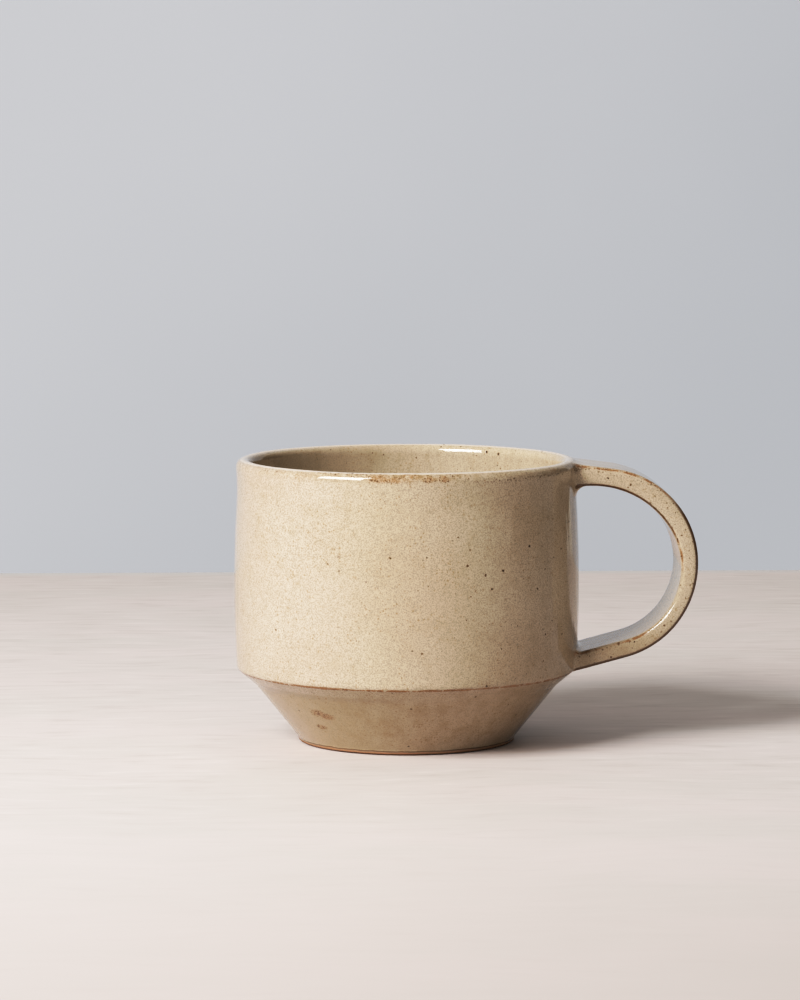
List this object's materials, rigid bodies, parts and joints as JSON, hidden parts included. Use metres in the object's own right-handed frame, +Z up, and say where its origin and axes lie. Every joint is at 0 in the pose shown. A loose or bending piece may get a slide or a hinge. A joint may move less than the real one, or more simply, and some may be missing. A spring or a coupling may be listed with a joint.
{
  "type": "stacking mug",
  "caption": "Glazed stoneware mug with a flat strap handle and a stepped cone foot that nests in the rim of another mug.",
  "frame": {"origin": "centre of the flat foot, on the surface that the mug stands on", "axes": "+Z up through the mouth, +X out through the handle, XZ is the plane of symmetry"},
  "size_m": [0.119, 0.089, 0.073],
  "materials": {
    "speckled_glaze": "gloss"
  },
  "bodies": {
    "root": {"mug": "speckled_glaze"}
  },
  "joints": []
}
